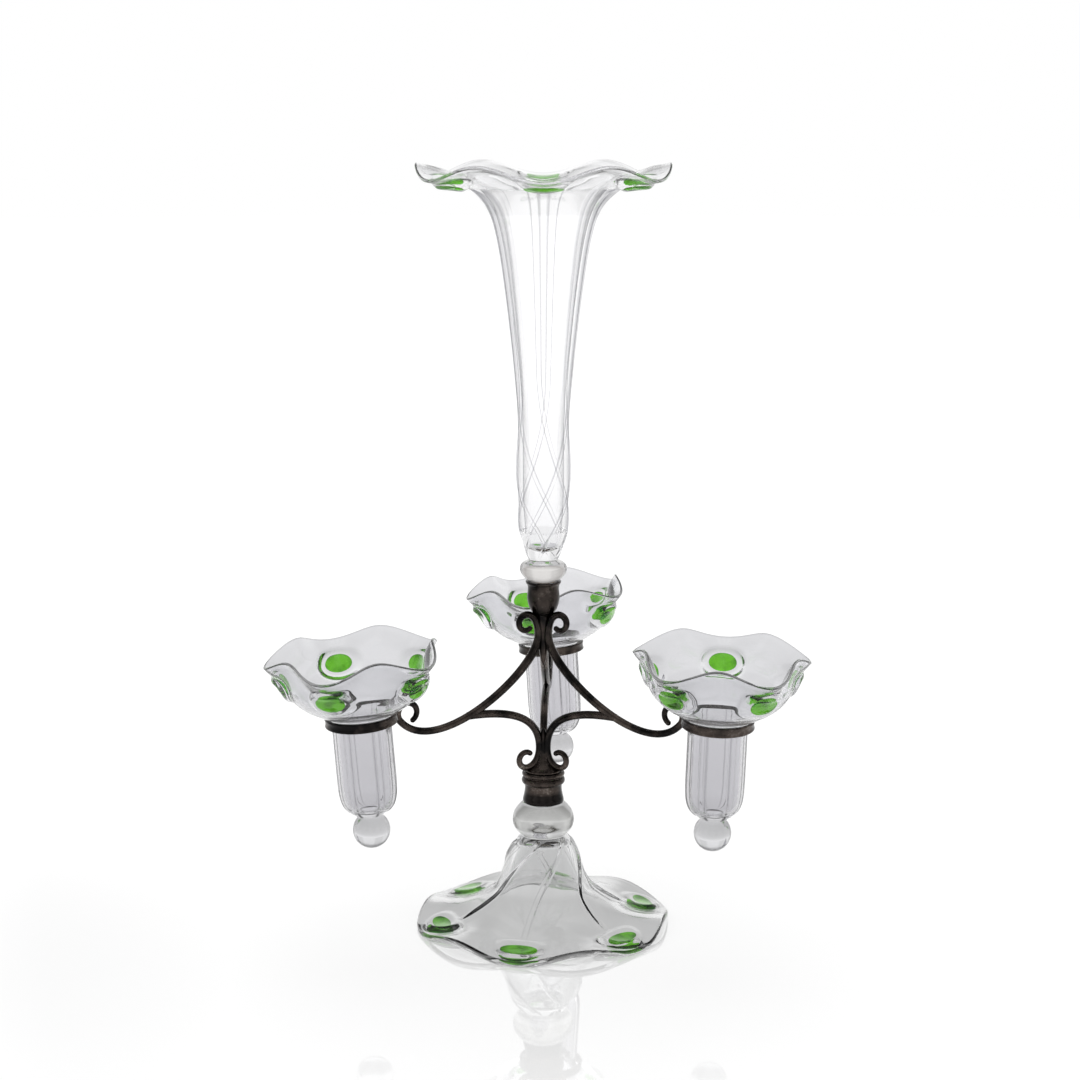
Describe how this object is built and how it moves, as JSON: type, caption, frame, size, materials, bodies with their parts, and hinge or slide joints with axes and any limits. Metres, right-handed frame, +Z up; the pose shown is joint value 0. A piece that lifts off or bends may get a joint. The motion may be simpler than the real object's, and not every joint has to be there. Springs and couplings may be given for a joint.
{
  "type": "epergne",
  "caption": "Table centrepiece with a tall glass trumpet and hanging glass posies with green prunts, carried by a scrolled metal frame on a wavy glass foot.",
  "frame": {"origin": "on the table, under the middle of the stem", "axes": "+Z up along the stem; -Y towards the viewer of the picture, between the left and right arms; +X to the viewer's right; the third arm points along +Y"},
  "size_m": [0.3076, 0.2763, 0.4497],
  "materials": {
    "clear_glass": "clear polished blown glass",
    "green_glass": "translucent bright green glass",
    "tarnished_plate": "silver plate worn and tarnished to a dark brown grey",
    "cork": "raw cork",
    "plaster": "dry plaster"
  },
  "bodies": {
    "stand": {"foot": "clear_glass", "foot_prunts": "green_glass", "foot_knop": "clear_glass", "ferrule_packing": "plaster", "ferrule": "tarnished_plate", "frame_cap": "tarnished_plate", "scroll_left": "tarnished_plate", "scroll_right": "tarnished_plate", "scroll_back": "tarnished_plate", "brace_left": "tarnished_plate", "brace_right": "tarnished_plate", "brace_back": "tarnished_plate", "ring_left": "tarnished_plate", "ring_right": "tarnished_plate", "ring_back": "tarnished_plate", "socket": "tarnished_plate"},
    "cork": {"socket_cork": "cork"},
    "trumpet": {"trumpet": "clear_glass", "trumpet_prunts": "green_glass", "trumpet_knop": "clear_glass"},
    "posy_left": {"posy_left": "clear_glass", "posy_prunts_left": "green_glass", "posy_finial_left": "clear_glass"},
    "posy_right": {"posy_right": "clear_glass", "posy_prunts_right": "green_glass", "posy_finial_right": "clear_glass"},
    "posy_back": {"posy_back": "clear_glass", "posy_prunts_back": "green_glass", "posy_finial_back": "clear_glass"}
  },
  "joints": [
    {"name": "trumpet_turn", "type": "hinge", "parent": "stand", "child": "cork", "pos_m": [0, 0, 0.2], "axis": [0, 0, 1], "continuous": true},
    {"name": "trumpet_lift", "type": "slide", "parent": "cork", "child": "trumpet", "axis": [0, 0, 1], "range_m": [0, 0.05]},
    {"name": "posy_lift_left", "type": "slide", "parent": "stand", "child": "posy_left", "axis": [-0.0723, -0.0317, 0.9969], "range_m": [0, 0.088]},
    {"name": "posy_lift_right", "type": "slide", "parent": "stand", "child": "posy_right", "axis": [0.0322, -0.0488, 0.9983], "range_m": [0, 0.088]},
    {"name": "posy_lift_back", "type": "slide", "parent": "stand", "child": "posy_back", "axis": [-0.061, 0.0261, 0.9978], "range_m": [0, 0.088]}
  ]
}
